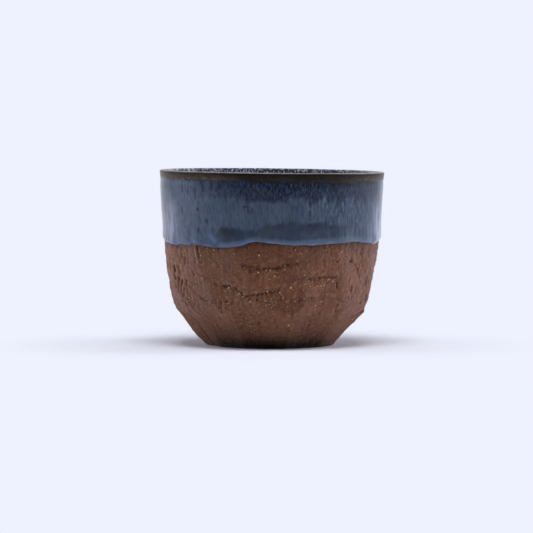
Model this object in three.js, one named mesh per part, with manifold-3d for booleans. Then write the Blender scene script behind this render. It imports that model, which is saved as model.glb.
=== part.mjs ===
// A stoneware mug with no handle: a thrown clay cup whose lower half is cut into facets with a knife.
// Glaze lies on the clay as three coats: a lining inside, a thin coat over the lip and a dipped band outside.
// Millimetres, +Z up, origin at the middle of the foot. The front faces -Y, and +X is to its right.
import * as THREE from "three";
import { mergeVertices } from "three/addons/utils/BufferGeometryUtils.js";
import Module from "manifold-3d";

// Overall form
const height = 68.6; // foot to the top of the glazed lip, at the middle
const lipDiameter = 88; // outside, over the glaze
const lipFall = 1.0; // the lip stands this much lower on the right than on the left
const lipFlare = 0.6; // how far the lip turns out
const flareHeight = 5; // the stretch below the lip that turns out
const bellyInset = 1.4; // how far the clay leans in from the lip to where the knife cuts begin

// Clay walls
const wall = 4.2; // behind the facets
const lipWall = 3.0;
const lipRound = 0.8; // rounding of the lip's two edges
const floorThickness = 6.6;
const bowlFloorDiameter = 22; // flat middle of the floor inside

// Knife cuts, each tier a ring of flat strokes that lean in towards the foot
const cutTop = 46.5; // where the strokes leave the round wall
const shoulderHeight = 28.5;
const shoulderInset = 1.7; // from the belly in to the middle of a facet
const chamferHeight = 16.6;
const chamferInset = 4.4;
const footRadius = 23.9; // axis to the middle of a facet
const wallStrokes = 13; // round the upper and middle tiers
const footStrokes = 11; // round the chamfer above the foot
const upperTurn = -2; // degrees to the right of the front, where each tier's first stroke faces
const middleTurn = 4;
const footTurn = -4;
const strayTurn = 3.5; // degrees that a stroke strays round the mug
const strayDepth = 0.32; // how much deeper or shallower a stroke goes
const strayBeat = 2.4; // radians between one stroke's stray and the next one's
const footTrim = 5; // clay left round the foot for the knife to take

// Underside
const footRing = 6.5; // width of the ring that the mug stands on
const recessDepth = 1.2;
const recessBevel = 1.5;

// Glaze
const bandGlaze = 0.6; // outer coat
const beadGlaze = 0.85; // outer coat at its rolled lower edge
const beadHeight = 2.4;
const lipGlaze = 0.35; // thin over the lip
const liningGlaze = 0.6;
const lipBand = 3.0; // how far the lip's coat comes down outside
const lipInside = 2.2; // and inside
const glazeHeight = 40.5; // mean height of the outer coat's lower edge
const coatGap = 0.05; // left between the solids that meet

// Facets of the round forms
const roundSteps = 60;
const cornerSteps = 3;
const curveSteps = 6;
const bandRows = 9;

// Lower edge of the outer coat, at its high and low points: [degrees to the right of the front, rise].
const glazeRuns = [
  [-168, 0.4],
  [-146, -0.8],
  [-120, 0.9],
  [-96, -0.4],
  [-76, 0.3],
  [-61, -0.7],
  [-47, 0.2],
  [-27, -1.0],
  [-9, 1.2],
  [14, -0.3],
  [52, 1.1],
  [70, -0.2],
  [92, 0.5],
  [118, -0.9],
  [148, 0.8],
  [170, -0.3],
];

const lipRadius = lipDiameter / 2 - lipGlaze - coatGap; // clay
const bellyRadius = lipRadius - bellyInset;
const shoulderRadius = bellyRadius - shoulderInset;
const chamferRadius = bellyRadius - chamferInset;
const lipTop = height - lipGlaze - coatGap; // clay
const lipSpring = lipTop - lipRound; // where the lip starts to round over
const bandTop = height - lipBand;
const liningTop = height - lipInside;

const wasm = await Module();
wasm.setup();

// Knife strokes

const upperTier = tier(wallStrokes, upperTurn, [cutTop, bellyRadius], [shoulderHeight, shoulderRadius]);
const middleTier = tier(
  wallStrokes,
  middleTurn,
  [shoulderHeight, shoulderRadius],
  [chamferHeight, chamferRadius],
);
const footTier = tier(footStrokes, footTurn, [chamferHeight, chamferRadius], [0, footRadius]);
const strokes = [...upperTier, ...middleTier, ...footTier];

// One ring of strokes: each is a plane that faces `turn` and passes through `radius` at `level`.
function tier(count, firstTurn, [topLevel, topRadius], [lowLevel, lowRadius]) {
  const lean = Math.atan2(topRadius - lowRadius, topLevel - lowLevel);
  return Array.from({ length: count }, (_, i) => ({
    turn: THREE.MathUtils.degToRad(firstTurn + (i * 360) / count + strayTurn * unevenness(i, count)),
    radius: lowRadius + strayDepth * unevenness(i, topLevel),
    level: lowLevel,
    lean,
  }));
}

// A hand's unevenness from one stroke to the next, from -1 to 1.
function unevenness(stroke, hand) {
  return Math.sin(strayBeat * stroke + hand);
}

// Distance from the axis to a stroke's plane, in the direction `turn` at the height `level`.
function strokeReach(stroke, turn, level) {
  const facing = Math.cos(turn - stroke.turn);
  const reach = stroke.radius + (level - stroke.level) * Math.tan(stroke.lean);
  return facing > 0 ? reach / facing : Infinity;
}

// The block of clay that a stroke takes off, with its cut face moved out by `grow`.
function strokeBlock(stroke, grow) {
  const size = height + lipDiameter;
  const block = new THREE.BoxGeometry(size, size, size);
  block.translate(size / 2 + grow, 0, 0);
  block.rotateY(stroke.lean);
  block.translate(stroke.radius, 0, stroke.level);
  block.rotateZ(stroke.turn - Math.PI / 2);
  return toSolid(block);
}

// Profiles, as points in radius and height

function point(radius, level) {
  return new THREE.Vector2(radius, level);
}

// Outside of the thrown wall from the foot to the lip, moved out by `grow`.
function outsideWall(grow) {
  const foot = point(footRadius + footTrim + grow, 0);
  const heel = point(bellyRadius + grow, 0);
  const belly = point(bellyRadius + grow, chamferHeight);
  return [...curve(foot, heel, belly), ...upperWall(grow)];
}

function upperWall(grow) {
  const straight = lipRadius - lipFlare + grow;
  const flareFoot = point(straight, lipSpring - flareHeight);
  const flareMiddle = point(straight, lipSpring - flareHeight / 2);
  const flareTop = point(lipRadius + grow, lipSpring);
  return [point(bellyRadius + grow, cutTop), ...curve(flareFoot, flareMiddle, flareTop)];
}

// Over the lip from its outer face to its inner face, moved out by `grow`.
function overLip(grow) {
  const outer = corner(lipRadius - lipRound, lipSpring, lipRound + grow, 0);
  const inner = corner(lipRadius - lipWall + lipRound, lipSpring, lipRound + grow, Math.PI / 2);
  return [...outer, ...inner];
}

// Inside of the wall from the top of the knife cuts to the middle of the floor, thicker by `inset`.
function insideWall(inset) {
  const thick = wall + inset;
  const lean = footTier[0].lean;
  const floor = floorThickness + inset;
  const bowlCorner = footRadius + floor * Math.tan(lean) - thick / Math.cos(lean);
  return [
    point(bellyRadius - thick, cutTop),
    point(shoulderRadius - thick, shoulderHeight),
    ...curve(
      point(chamferRadius - thick, chamferHeight),
      point(bowlCorner, floor),
      point(bowlFloorDiameter / 2, floor),
    ),
    point(0, floor),
  ];
}

// Inner wall's radius between the top of the knife cuts and the lip.
function innerRadius(level, inset) {
  const radius = THREE.MathUtils.mapLinear(level, cutTop, lipSpring, bellyRadius - wall, lipRadius - lipWall);
  return radius - inset;
}

// Outer wall's radius above the knife cuts.
function thrownRadius(level) {
  const points = upperWall(0);
  const next = points.findIndex((p) => p.y >= level);
  if (next < 1) return next < 0 ? lipRadius : bellyRadius;
  const [low, high] = [points[next - 1], points[next]];
  return THREE.MathUtils.mapLinear(level, low.y, high.y, low.x, high.x);
}

function curve(from, control, to) {
  return new THREE.QuadraticBezierCurve(from, control, to).getPoints(curveSteps);
}

// A quarter circle, anticlockwise from the angle `start`.
function corner(centreRadius, centreLevel, radius, start) {
  return Array.from({ length: cornerSteps + 1 }, (_, step) => {
    const angle = start + (step * Math.PI) / 2 / cornerSteps;
    return point(centreRadius + radius * Math.cos(angle), centreLevel + radius * Math.sin(angle));
  });
}

function clayRadius(turn, level) {
  return Math.min(thrownRadius(level), ...strokes.map((stroke) => strokeReach(stroke, turn, level)));
}

// Solids and geometry

function toSolid(geometry) {
  const bare = geometry.clone();
  bare.deleteAttribute("normal");
  bare.deleteAttribute("uv");
  const merged = mergeVertices(bare);
  const vertProperties = merged.getAttribute("position").array;
  const triVerts = new Uint32Array(merged.index.array);
  return new wasm.Manifold(new wasm.Mesh({ numProp: 3, vertProperties, triVerts }));
}

function toGeometry(solid) {
  const { vertProperties, triVerts } = solid.getMesh();
  const geometry = new THREE.BufferGeometry();
  geometry.setAttribute("position", new THREE.BufferAttribute(vertProperties, 3));
  geometry.setIndex(new THREE.BufferAttribute(triVerts, 1));
  geometry.computeVertexNormals();
  return geometry;
}

// Turns a profile about the mug's axis. The seam faces the front.
function turned(profile) {
  const geometry = new THREE.LatheGeometry(profile, roundSteps);
  geometry.rotateX(Math.PI / 2);
  return geometry;
}

// The thrown cup is cut by every stroke in turn.
function cutByStrokes(solid, grow) {
  return strokes.reduce((left, stroke) => left.subtract(strokeBlock(stroke, grow)), solid);
}

// The lip's fall from left to right, shared out over the height, so the foot stays flat.
function withLipFall(geometry) {
  const position = geometry.getAttribute("position");
  for (let i = 0; i < position.count; i++) {
    const rise = (-lipFall * position.getX(i)) / lipDiameter;
    position.setZ(i, position.getZ(i) * (1 + rise / height));
  }
  geometry.computeVertexNormals();
  return geometry;
}

// Pieces

function stonewareBody() {
  const recessRadius = footRadius - footRing;
  const underside = [
    point(0, recessDepth),
    point(recessRadius - recessBevel, recessDepth),
    point(recessRadius, 0),
  ];
  const profile = [...underside, ...outsideWall(0), ...overLip(0), ...insideWall(0)];
  return toGeometry(cutByStrokes(toSolid(turned(profile)), 0));
}

// The clay's outside as a full block, moved out by `grow`, to seat the outer coat.
function clayCore(grow) {
  const profile = [point(0, 0), ...outsideWall(grow), point(0, lipSpring)];
  return cutByStrokes(toSolid(turned(profile)), grow);
}

function liningCoat() {
  const [back, face] = [coatGap, coatGap + liningGlaze];
  const backWall = [point(innerRadius(liningTop, back), liningTop), ...insideWall(back)];
  const faceWall = [point(innerRadius(liningTop, face), liningTop), ...insideWall(face)];
  return turned([...backWall.reverse(), ...faceWall]);
}

// The lip's coat is a hood over the clay: up its outer face, over the lip and down its inner face.
function lipCoat() {
  const [back, face] = [coatGap, coatGap + lipGlaze];
  const low = bandTop + coatGap;
  const lowInside = liningTop + coatGap;
  const hood = (grow) => [
    point(thrownRadius(low) + grow, low),
    ...overLip(grow),
    point(innerRadius(lowInside, grow), lowInside),
  ];
  const section = [...hood(face), ...hood(back).reverse()];
  return turned([...section, section[0]]);
}

// Height of the outer coat's lower edge, eased between its high and low points.
function glazeLine(turn) {
  const degrees = wrapped(THREE.MathUtils.radToDeg(turn));
  const runs = glazeRuns.map(([at, rise]) => [wrapped(at), rise]).sort((a, b) => a[0] - b[0]);
  const passed = runs.filter(([at]) => at <= degrees).length;
  const [from, to] = [runs.at(passed - 1), runs[passed % runs.length]];
  const share = THREE.MathUtils.smoothstep(wrapped(degrees - from[0]), 0, wrapped(to[0] - from[0]));
  return glazeHeight + THREE.MathUtils.lerp(from[1], to[1], share);
}

// Degrees brought into one turn.
function wrapped(degrees) {
  return THREE.MathUtils.euclideanModulo(degrees, 360);
}

// Thickness of the outer coat: it rolls over at its lower edge and thins out towards the lip.
function bandThickness(aboveEdge, belowTop) {
  const roll = Math.min(1, aboveEdge / beadHeight);
  const bead = (beadGlaze - bandGlaze) * (1 - roll);
  const body = THREE.MathUtils.lerp(lipGlaze, bandGlaze, THREE.MathUtils.smoothstep(belowTop, 0, lipBand));
  return Math.sqrt(1 - (1 - roll) ** 2) * (body + bead);
}

// The outer coat is lofted round the mug from one section for each step, then seated on the clay.
// A section's rows lie closer together towards its lower edge.
function bandCoat() {
  const buried = -bandGlaze; // the loft starts inside the clay, which is cut away below
  const sections = Array.from({ length: roundSteps }, (_, step) => {
    const turn = (step * 2 * Math.PI) / roundSteps;
    const low = glazeLine(turn);
    const rows = Array.from({ length: bandRows + 1 }, (_, row) => {
      const level = THREE.MathUtils.lerp(low, bandTop, (row / bandRows) ** 2);
      const thickness = bandThickness(level - low, bandTop - level);
      return [clayRadius(turn, level) + coatGap + thickness, level];
    });
    const section = [
      [clayRadius(turn, low) + buried, low],
      ...rows,
      [thrownRadius(bandTop) + buried, bandTop],
    ];
    return section.map(([radius, level]) => [radius * Math.sin(turn), -radius * Math.cos(turn), level]);
  });
  return toGeometry(toSolid(lofted(sections)).subtract(clayCore(coatGap)));
}

// Joins a ring of closed sections, each with as many points as the next.
function lofted(sections) {
  const size = sections[0].length;
  const index = [];
  sections.forEach((_, s) => {
    const nextSection = (s + 1) % sections.length;
    for (let p = 0; p < size; p++) {
      const nextPoint = (p + 1) % size;
      const [a, b] = [s * size + p, s * size + nextPoint];
      const [c, d] = [nextSection * size + p, nextSection * size + nextPoint];
      index.push(a, c, b, b, c, d);
    }
  });
  const geometry = new THREE.BufferGeometry();
  geometry.setAttribute("position", new THREE.Float32BufferAttribute(sections.flat(2), 3));
  geometry.setIndex(index);
  return geometry;
}

// Finishes

const stoneware = new THREE.MeshStandardMaterial({ color: "#6b4a3d", roughness: 0.9, metalness: 0 });
const blueGlaze = new THREE.MeshStandardMaterial({ color: "#4a5870", roughness: 0.25, metalness: 0 });
const lipBrown = new THREE.MeshStandardMaterial({ color: "#3b332d", roughness: 0.35, metalness: 0 });
const liningBlue = new THREE.MeshStandardMaterial({ color: "#34415a", roughness: 0.2, metalness: 0 });

function piece(name, geometry, material) {
  const mesh = new THREE.Mesh(withLipFall(geometry), material);
  mesh.name = name;
  return mesh;
}

const mug = new THREE.Group();
mug.add(
  piece("stoneware_body", stonewareBody(), stoneware),
  piece("inner_glaze_lining", liningCoat(), liningBlue),
  piece("lip_glaze", lipCoat(), lipBrown),
  piece("outer_glaze_band", bandCoat(), blueGlaze),
);

export default mug;
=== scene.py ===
import math

import bpy
import numpy as np
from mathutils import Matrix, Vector


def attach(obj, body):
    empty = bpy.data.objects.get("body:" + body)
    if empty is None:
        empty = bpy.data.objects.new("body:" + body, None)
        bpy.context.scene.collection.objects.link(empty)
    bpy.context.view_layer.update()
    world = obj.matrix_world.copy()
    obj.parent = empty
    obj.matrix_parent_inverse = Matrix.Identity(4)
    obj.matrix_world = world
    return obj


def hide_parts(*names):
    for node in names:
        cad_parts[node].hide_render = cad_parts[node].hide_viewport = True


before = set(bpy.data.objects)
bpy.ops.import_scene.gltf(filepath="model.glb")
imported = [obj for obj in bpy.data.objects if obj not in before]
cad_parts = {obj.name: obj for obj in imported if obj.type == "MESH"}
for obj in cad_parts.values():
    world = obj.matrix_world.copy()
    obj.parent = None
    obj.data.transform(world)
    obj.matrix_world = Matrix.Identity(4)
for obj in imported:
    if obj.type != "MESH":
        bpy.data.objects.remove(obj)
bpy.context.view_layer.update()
print("frame loaded:", ", ".join(sorted(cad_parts)))

# Shapes are worked out on grids of turn and level, in mm, and go into metres when a mesh is made. Sizes of
# the mug and its marks are in mm where nothing else is said. A turn is an angle round the mug from the front,
# growing to the right, and a level is a height above the foot.
mmPerMetre = 1000
tiny = 1e-9  # keeps a division off zero
seatGap = 0.05  # mm, how far the coats lie off the clay
middleWidth = 1.0  # mm from the middle plane, within which the mug's height is read
bowlFacing = 0.3  # how far a face has to look inward and up to count as the bowl's
noSpread = 0.01  # of a step, a blur too narrow to reach the next one
sharpAngle = math.radians(55)  # edges that bend more than this are shaded sharp


# Triangles of a CAD node, as (triangle, corner, xyz)
def readTriangles(node):
    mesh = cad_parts[node].data
    mesh.calc_loop_triangles()
    points = np.empty(len(mesh.vertices) * 3, np.float32)
    corners = np.empty(len(mesh.loop_triangles) * 3, np.int32)
    mesh.vertices.foreach_get("co", points)
    mesh.loop_triangles.foreach_get("vertices", corners)
    return points.reshape(-1, 3).astype(float)[corners.reshape(-1, 3)] * mmPerMetre


# The lip falls a little to the right: a point at height z sits at z * (1 - lipFall * x)
lipCorners = readTriangles("lip_glaze").reshape(-1, 3)
lipRadius = np.hypot(lipCorners[:, 0], lipCorners[:, 1])
lipOuter, lipInner = lipRadius.max(), lipRadius.min()
lipPeak = lipCorners[lipCorners[:, 2].argmax()]
mugHeight = lipCorners[np.abs(lipCorners[:, 0]) < middleWidth, 2].max()
lipFall = (1 - lipPeak[2] / mugHeight) / lipPeak[0]


# A node's triangles with the lip's fall taken out, and their unit normals and areas
def readUpright(node):
    corners = readTriangles(node)
    corners[..., 2] /= 1 - lipFall * corners[..., 0]
    normal = np.cross(corners[:, 1] - corners[:, 0], corners[:, 2] - corners[:, 0])
    area = np.linalg.norm(normal, axis=1, keepdims=True) / 2
    return corners, normal / np.maximum(2 * area, tiny), area[:, 0]


# The knife's cuts are the planes of the body's facets: they face out and lean in towards the foot
knife = {
    "leastLean": 0.07,  # of a facet's normal, down
    "mostLean": 0.9,
    "highest": 58.0,
    "smallest": 0.5,  # square mm
    "leastFacing": 0.3,  # how squarely a plane has to face a turn to cut it
    "thrownFrom": 43.5,  # the thrown wall is nowhere narrower than at this level
}
bodyCorners, bodyNormal, bodyArea = readUpright("stoneware_body")
bodyMiddle = bodyCorners.mean(axis=1)
facesOut = (bodyNormal[:, :2] * bodyMiddle[:, :2]).sum(axis=1) > 0
leansIn = (bodyNormal[:, 2] < -knife["leastLean"]) & (bodyNormal[:, 2] > -knife["mostLean"])
isCut = facesOut & leansIn & (bodyMiddle[:, 2] < knife["highest"]) & (bodyArea > knife["smallest"])
cutOffset = (bodyNormal * bodyMiddle).sum(axis=1)
knifePlanes = np.unique(np.column_stack([bodyNormal, cutOffset])[isCut].round(2), axis=0)

# The thrown wall above the cuts: the widest that the body gets up to each level
bodyPoints = bodyCorners.reshape(-1, 3)
bodyRadius = np.hypot(bodyPoints[:, 0], bodyPoints[:, 1])
rising = np.argsort(bodyPoints[:, 2])
thrownLevel = bodyPoints[rising, 2]
thrownRadius = np.maximum.accumulate(bodyRadius[rising])
thrownRadius = np.maximum(thrownRadius, np.interp(knife["thrownFrom"], thrownLevel, thrownRadius))
print(f"read {len(knifePlanes)} knife planes, mug {mugHeight:.1f} mm high and {2 * lipOuter:.1f} mm wide")


# Distance from the axis to the clay: the nearest of the thrown wall and the knife's planes in that direction
def clayRadius(turn, level):
    reach = np.interp(level, thrownLevel, thrownRadius)
    for x, y, z, offset in knifePlanes:
        facing = x * np.sin(turn) - y * np.cos(turn)
        hit = (offset - z * level) / np.maximum(facing, knife["leastFacing"])
        reach = np.where(facing > knife["leastFacing"], np.minimum(reach, hit), reach)
    return reach


# 0 below the first bound, 1 above the second, eased between them
def ease(value, low, high):
    share = np.clip((value - low) / (high - low), 0, 1)
    return share * share * (3 - 2 * share)


# 1 at 0, falling off on both sides as a bell curve
def bell(distance, width):
    return np.exp(-((distance / width) ** 2))


# Mean of each point's neighbours, weighted by a bell curve cut off at 3 widths. Columns run on round the mug,
# rows stop at their ends.
def blur(field, rowSpread, columnSpread):
    for axis, width in ((0, rowSpread), (1, columnSpread)):
        reach = max(1, math.ceil(3 * width))
        steps = np.arange(-reach, reach + 1)
        weights = np.exp(-0.5 * (steps / width) ** 2)
        if axis == 0:
            padded = np.pad(field, ((reach, reach), (0, 0)), mode="edge")
            shifted = [padded[reach + step:reach + step + len(field)] for step in steps]
        else:
            shifted = [np.roll(field, step, axis=1) for step in steps]
        field = sum(w * part for w, part in zip(weights / weights.sum(), shifted))
    return field


# Random lumps on a grid: white noise damped in its spectrum to lumps of one size. The recipe is their height,
# a seed, and their size upright and round in the unit of the grid's two steps.
def lumps(recipe, shape, rowStep=1, columnStep=1):
    height, seed, tall, wide = recipe
    white = np.random.default_rng(seed).standard_normal(shape)
    rowWave = np.fft.fftfreq(shape[0])[:, None] * (tall / rowStep)
    columnWave = np.fft.rfftfreq(shape[1])[None, :] * (wide / columnStep)
    damping = np.exp(-2 * (np.pi * rowWave) ** 2 - 2 * (np.pi * columnWave) ** 2)
    smooth = np.fft.irfft2(np.fft.rfft2(white) * damping, shape)
    return height * (smooth / smooth.std())


# Equal turns round the mug, as one row
def roundTurns(columns):
    return np.linspace(0, 2 * np.pi, columns, endpoint=False)[None, :]


# Shortest way round from one turn to another
def turnGap(turn, other):
    return (turn - other + np.pi) % (2 * np.pi) - np.pi


# A value given at some turns in degrees, run on evenly between them
def roundTable(turn, table):
    turns, values = np.array(table).T
    return np.interp(np.degrees(turn), turns, values, period=360)


# 1 on a line drawn on the wall through (turn in degrees, level) points, falling off as a bell curve
def nearPath(turn, level, path, width):
    nearest = np.full(np.broadcast(turn, level).shape, np.inf)
    for (turn0, level0), (turn1, level1) in zip(path, path[1:]):
        across, up = turnGap(turn, math.radians(turn0)) * lipOuter, level - level0
        runAcross, runUp = math.radians(turn1 - turn0) * lipOuter, level1 - level0
        along = np.clip((across * runAcross + up * runUp) / max(runAcross**2 + runUp**2, tiny), 0, 1)
        nearest = np.minimum(nearest, np.hypot(across - along * runAcross, up - along * runUp))
    return bell(nearest, width)


# The strongest of some runs at each point. A run is its strength, its width and its line.
def strongest(turn, level, runs):
    field = np.zeros(np.broadcast(turn, level).shape)
    for strength, width, path in runs:
        field = np.maximum(field, strength * nearPath(turn, level, path, width))
    return field


# Points at (radius, turn, level)
def place(radius, turn, level):
    radius, turn, level = np.broadcast_arrays(radius, turn, level)
    return np.stack([radius * np.sin(turn), -radius * np.cos(turn), level], axis=-1)


# Puts points and faces into a new mesh, with the lip's fall, and stores its marks as point attributes
def buildMesh(name, points, faces, marks):
    settled = points.copy()
    settled[:, 2] *= 1 - lipFall * points[:, 0]
    mesh = bpy.data.meshes.new(name)
    mesh.from_pydata(settled / mmPerMetre, [], faces)
    mesh.polygons.foreach_set("use_smooth", np.ones(len(mesh.polygons), bool))
    mesh.set_sharp_from_angle(angle=sharpAngle)
    for title, field in marks.items():
        values = field.ravel().astype(np.float32)
        mesh.attributes.new(title, "FLOAT", "POINT").data.foreach_set("value", values)
    mesh.update()
    piece = bpy.data.objects.new(name, mesh)
    bpy.context.scene.collection.objects.link(piece)
    return piece


# Quads of a grid whose columns close round, with the last row joined to the first, and triangles from its two
# end rows to two poles, which come after its points
def gridFaces(rows, columns):
    row = np.arange(rows)[:, None] * columns
    nextRow = (row + columns) % (rows * columns)
    column = np.arange(columns)
    nextColumn = (column + 1) % columns
    quads = np.stack([row + column, row + nextColumn, nextRow + nextColumn, nextRow + column], axis=-1)
    pole = np.full(columns, rows * columns)
    tops = np.column_stack([pole, nextColumn, column])
    bottoms = np.column_stack([row[-1] + column, row[-1] + nextColumn, pole + 1])
    return quads, np.vstack([tops, bottoms])


# Makes a mesh object from a grid of points. Its rows close to a ring, or else end at two poles on the axis.
def buildPiece(name, grid, poles, marks):
    quads, caps = gridFaces(*grid.shape[:2])
    points = grid.reshape(-1, 3)
    faces = quads.reshape(-1, 4).tolist()
    if poles is not None:
        points = np.vstack([points, poles])
        faces = quads[:-1].reshape(-1, 4).tolist() + caps.tolist()
        ends = {title: [field[0].mean(), field[-1].mean()] for title, field in marks.items()}
        marks = {title: np.append(field, ends[title]) for title, field in marks.items()}
    return buildMesh(name, points, faces, marks)


# Gives a piece its material, and tells the frame where it belongs
def dress(piece, material, node):
    piece.data.materials.append(material)
    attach(piece, "root")
    if node:
        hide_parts(node)
    print(f"made {piece.name}: {len(piece.data.polygons)} faces")


# Material helpers
def newMaterial(name):
    material = bpy.data.materials.new(name)
    material.use_nodes = True
    return material, material.node_tree, material.node_tree.nodes["Principled BSDF"]


# A display colour from 0 to 255 as the linear colour that a shader takes
def shade(red, green, blue):
    part = np.array([red, green, blue]) / 255
    linear = np.where(part <= 0.04045, part / 12.92, ((part + 0.055) / 1.055) ** 2.4)
    return (*linear.tolist(), 1.0)


# Sets a node's inputs by name or number, to a value or to another node's output
def setInputs(tree, node, inputs):
    for name, value in inputs.items():
        if isinstance(value, bpy.types.NodeSocket):
            tree.links.new(value, node.inputs[name])
        else:
            node.inputs[name].default_value = value


def addNode(tree, kind, inputs, **settings):
    node = tree.nodes.new(kind)
    for name, value in settings.items():
        setattr(node, name, value)
    setInputs(tree, node, inputs)
    return node


# Place on the object in m, as a vector
def objectPoint(tree):
    return addNode(tree, "ShaderNodeTexCoord", {}).outputs["Object"]


# Noise that is a function of the place on the object, with lumps per metre across and upright
def noise(tree, across, upright, detail=3.0, roughness=0.55):
    scale = (across, across, upright)
    point = addNode(tree, "ShaderNodeMapping", {"Vector": objectPoint(tree), "Scale": scale}).outputs[0]
    inputs = {"Vector": point, "Scale": 1.0, "Detail": detail, "Roughness": roughness}
    return addNode(tree, "ShaderNodeTexNoise", inputs).outputs[0]


# A mark of the mesh
def mark(tree, name):
    return addNode(tree, "ShaderNodeAttribute", {}, attribute_name=name).outputs["Fac"]


def combine(tree, operation, first, second):
    return addNode(tree, "ShaderNodeMath", {0: first, 1: second}, operation=operation).outputs[0]


def times(tree, first, second):
    return combine(tree, "MULTIPLY", first, second)


# A mark of the mesh, weakened to the given most
def marked(tree, name, most):
    return times(tree, mark(tree, name), most)


# Takes a value from one range to another, eased
def spread(tree, value, low, high, start=0.0, end=1.0):
    inputs = {"Value": value, 1: low, 2: high, 3: start, 4: end}
    return addNode(tree, "ShaderNodeMapRange", inputs, interpolation_type="SMOOTHSTEP").outputs[0]


def blend(tree, share, first, second):
    return addNode(tree, "ShaderNodeMix", {0: share, 6: first, 7: second}, data_type="RGBA").outputs[2]


# Lays colours over a first one. Each layer is its share, from 0 to 1, and its colour.
def paint(tree, colour, layers):
    for share, tint in layers:
        colour = blend(tree, share, colour, tint)
    return colour


def bump(tree, height, distance, strength=1.0, under=None):
    inputs = {"Height": height, "Distance": distance, "Strength": strength}
    if under is not None:
        inputs["Normal"] = under
    return addNode(tree, "ShaderNodeBump", inputs).outputs[0]


# 1 for what the camera sees straight on, and 1 for what is seen in a gloss
def seenRays(tree):
    path = addNode(tree, "ShaderNodeLightPath", {}).outputs
    return combine(tree, "MAXIMUM", path["Is Camera Ray"], path["Is Transmission Ray"]), path["Is Glossy Ray"]


# The dipped coat's lower edge: the lowest that the CAD band reaches at each of its steps round the mug
bandSteps = 60
bandPoints = readUpright("outer_glaze_band")[0].reshape(-1, 3)
bandTop = bandPoints[:, 2].max()
bandTurn = np.arctan2(bandPoints[:, 0], -bandPoints[:, 1])
bandStep = np.round(bandTurn / (2 * np.pi) * bandSteps).astype(int) % bandSteps
bandLow = np.full(bandSteps, np.inf)
np.minimum.at(bandLow, bandStep, bandPoints[:, 2])

# Finer than the CAD's steps: how far the edge stands above it, by turn in degrees
edgeRise = [
    (-94, 1.2), (-86, 1.1), (-79, 0.4), (-72, 0.0), (-24, 0.0), (-20, -0.4), (-13, -0.1), (-9, 0.5),
    (0, 0.4), (9, 0.8), (18, 0.8), (23, 0.5), (28, 0.6), (36, 0.25), (48, 0.35), (60, 0.3), (80, 0.2),
    (95, 0.3), (110, 0.0), (250, 0.0),
]
# Nicks and drips of that edge: turn in degrees, rise, and half width in degrees
edgeNicks = [
    (-58, 0.5, 1.6), (-61, -0.3, 1.6), (-46, 0.6, 1.5), (-49, -0.3, 1.8), (-34, -0.2, 1.5), (5, -0.35, 1.1),
    (-8, 0.25, 1.6), (56, -0.3, 1.6), (68, -0.2, 1.5), (-101, 0.5, 1.5), (-133, -0.6, 1.6),
    (-158, 0.5, 1.5), (103, -0.5, 1.6), (131, 0.6, 1.5), (163, -0.6, 1.6),
]


# The CAD band's edge, run on evenly between its steps, plus its rise and a bell curve for each nick
def glazeEdge(turn):
    edge = np.interp(turn, np.arange(bandSteps) * 2 * np.pi / bandSteps, bandLow, period=2 * np.pi)
    edge = edge + roundTable(turn, edgeRise)
    for at, rise, width in edgeNicks:
        edge = edge + rise * bell(turnGap(turn, math.radians(at)), math.radians(width))
    return edge


# Inside of the lining, from its top to the floor: the faces of the CAD coat that look into the bowl
liningCorners, liningNormal, _ = readUpright("inner_glaze_lining")
liningMiddle = liningCorners.mean(axis=1)
inward = -(liningNormal[:, :2] * liningMiddle[:, :2]).sum(axis=1) / np.hypot(*liningMiddle[:, :2].T)
liningFace = liningCorners[inward + liningNormal[:, 2] > bowlFacing].reshape(-1, 3)
liningSection = np.column_stack([np.hypot(liningFace[:, 0], liningFace[:, 1]), liningFace[:, 2]])
liningSection = np.unique(liningSection.round(2), axis=0)
liningSection = liningSection[np.lexsort((-liningSection[:, 0], -liningSection[:, 1]))]
liningFloor = liningSection[:, 1].min()
liningTop = liningSection[:, 1].max()


# Radius and level at equal steps down the lining, with the CAD's corners rounded off below the top
def liningProfile(rows, softness):
    stretch = np.hypot(*np.diff(liningSection, axis=0).T)
    along = np.concatenate([[0], np.cumsum(stretch)])
    steps = np.linspace(0, along[-1], rows)
    profile = np.column_stack([np.interp(steps, along, part) for part in liningSection.T])
    rounded = blur(profile, softness * rows / along[-1], noSpread)
    profile += (rounded - profile) * ease(steps, 0, 4 * softness)[:, None]
    return profile[:, :1], profile[:, 1:]


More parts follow.
